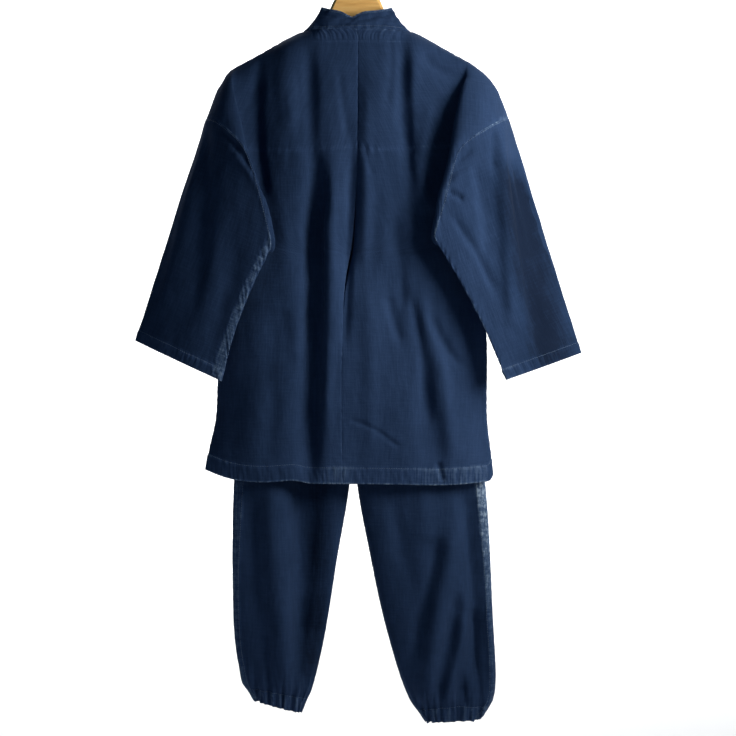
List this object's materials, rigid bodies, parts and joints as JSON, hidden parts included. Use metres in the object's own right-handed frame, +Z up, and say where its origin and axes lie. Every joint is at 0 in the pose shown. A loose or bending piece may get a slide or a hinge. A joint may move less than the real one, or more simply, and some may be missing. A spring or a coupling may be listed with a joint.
{
  "type": "samue jacket and trousers on a coat hanger",
  "caption": "Indigo cotton samue: wide-sleeved wrap jacket over trousers gathered at the ankles, hung on a wooden hanger with a steel hook.",
  "frame": {"origin": "top of the inside of the hanger's hook, where a rail carries it", "axes": "+Z up; +Y out of the garment's front; +X towards the wearer's right"},
  "size_m": [0.7353, 0.1443, 1.2772],
  "materials": {
    "indigo_cotton": "worn indigo-dyed plain-weave cotton, matt, paler along seams and ridges",
    "hanger_wood": "clear-varnished pale wood with fine grain",
    "hanger_steel": "bright drawn steel wire and bent strip"
  },
  "bodies": {
    "root": {"jacket_back_left": "indigo_cotton", "jacket_back_right": "indigo_cotton", "jacket_front_left": "indigo_cotton", "jacket_front_right": "indigo_cotton", "jacket_sleeve_left": "indigo_cotton", "jacket_sleeve_right": "indigo_cotton", "jacket_collar": "indigo_cotton", "jacket_tie_left": "indigo_cotton", "jacket_tie_right": "indigo_cotton", "trousers_waistband": "indigo_cotton", "trousers_back_left": "indigo_cotton", "trousers_back_right": "indigo_cotton", "trousers_front_left": "indigo_cotton", "trousers_front_right": "indigo_cotton", "hanger_wood": "hanger_wood", "hanger_bar": "hanger_wood", "hanger_hook": "hanger_steel", "hanger_clip_left": "hanger_steel", "hanger_clip_right": "hanger_steel"}
  },
  "joints": []
}
